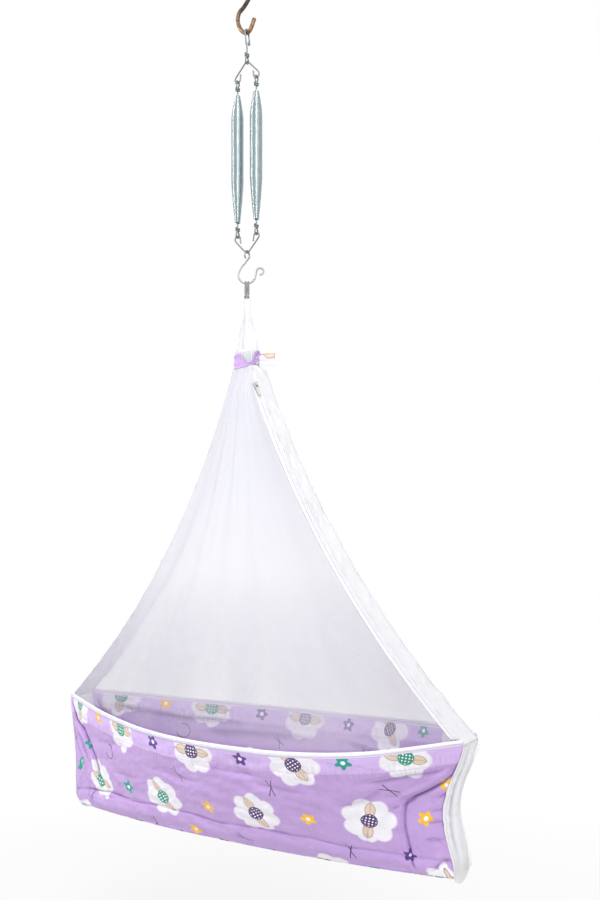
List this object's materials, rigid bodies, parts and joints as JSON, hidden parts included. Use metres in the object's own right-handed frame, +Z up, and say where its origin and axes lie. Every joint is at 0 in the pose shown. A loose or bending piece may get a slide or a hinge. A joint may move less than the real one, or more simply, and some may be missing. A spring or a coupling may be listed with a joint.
{
  "type": "hanging baby cradle",
  "caption": "Hanging baby cradle: a cloth basket under a zipped net canopy, hung by rings, an S hook and paired springs on wire spreaders from a ceiling hook.",
  "frame": {"origin": "middle of the ceiling plate's top face, which lies against the ceiling", "axes": "+Z up out of the plate's top face, +X along the basket towards its zipped end, front looks along -Y"},
  "size_m": [0.8838, 0.3975, 1.6573],
  "materials": {
    "rusty_steel": "matte",
    "zinc_wire": "satin",
    "spring_steel": "polished",
    "nickel": "polished",
    "white_cloth": "matte",
    "net": "matte",
    "gathered_net": "matte",
    "print_cloth": "matte",
    "zip_tape": "matte",
    "zip_coil": "satin",
    "pad_cloth": "matte"
  },
  "bodies": {
    "ceiling_fitting": {"ceiling_plate": "rusty_steel", "ceiling_hook": "rusty_steel", "hook_collar": "rusty_steel"},
    "top_link": {"top_link_hook": "zinc_wire"},
    "upper_spreader": {"upper_spreader": "zinc_wire", "spring_hook_upper_left": "zinc_wire", "spring_hook_upper_right": "zinc_wire", "spring_left": "spring_steel", "spring_right": "spring_steel"},
    "lower_spreader": {"lower_spreader": "zinc_wire", "spring_hook_lower_left": "zinc_wire", "spring_hook_lower_right": "zinc_wire"},
    "s_hook": {"s_hook": "nickel"},
    "rings": {"ring_1": "zinc_wire", "ring_2": "zinc_wire", "ring_3": "zinc_wire"},
    "cradle": {"hanging_strap": "white_cloth", "neck_gather": "gathered_net", "neck_tie": "print_cloth", "neck_tie_tail": "print_cloth", "band_left": "white_cloth", "band_right": "white_cloth", "net_front": "net", "net_back": "net", "zip_placket": "white_cloth", "zip_side_coil": "zip_coil", "zip_rim_tape": "zip_tape", "zip_rim_coil": "zip_coil", "back_rim_binding": "zip_tape", "front_wall": "print_cloth", "back_wall": "print_cloth", "end_wall_left": "white_cloth", "end_wall_right": "white_cloth", "band_piping_left": "white_cloth", "band_piping_right": "white_cloth", "end_piping_left": "white_cloth", "end_piping_right": "white_cloth", "base_cloth": "print_cloth", "base_pad": "pad_cloth"},
    "zip_slider": {"zip_slider": "nickel"},
    "zip_pull": {"zip_pull": "nickel"}
  },
  "joints": [
    {"name": "top_link_swing", "type": "hinge", "parent": "ceiling_fitting", "child": "top_link", "pos_m": [0, 0, -0.132], "axis": [1, 0, 0], "range_deg": [-25, 25]},
    {"name": "upper_spreader_swing", "type": "hinge", "parent": "top_link", "child": "upper_spreader", "pos_m": [0, 0, -0.192], "axis": [0, 1, 0], "range_deg": [-25, 25]},
    {"name": "spring_stretch", "type": "slide", "parent": "upper_spreader", "child": "lower_spreader", "axis": [0, 0, -1], "range_m": [0, 0.2], "stiffness_N_per_m": 600, "springref_m": -0.05, "deforming": ["spring_left", "spring_right"]},
    {"name": "s_hook_swing", "type": "hinge", "parent": "lower_spreader", "child": "s_hook", "pos_m": [0, 0, -0.549], "axis": [1, 0, 0], "range_deg": [-30, 30]},
    {"name": "ring_swing", "type": "hinge", "parent": "s_hook", "child": "rings", "pos_m": [0, 0, -0.607], "axis": [0.8526, 0.5225, 0], "range_deg": [-30, 30]},
    {"name": "cradle_swing", "type": "hinge", "parent": "rings", "child": "cradle", "pos_m": [0, 0, -0.6356], "axis": [-0.5225, 0.8526, 0], "range_deg": [-20, 20]},
    {"name": "zip_slide", "type": "hinge", "parent": "cradle", "child": "zip_slider", "pos_m": [1.70555, -0.03263, -0.15266], "axis": [-0.007, -0.9999, 0.0109], "range_deg": [0, 22.5]},
    {"name": "zip_pull_lift", "type": "hinge", "parent": "zip_slider", "child": "zip_pull", "pos_m": [0.0425, -0.03091, -0.80569], "axis": [-0.6444, -0.7246, -0.2445], "range_deg": [0, 160]}
  ]
}
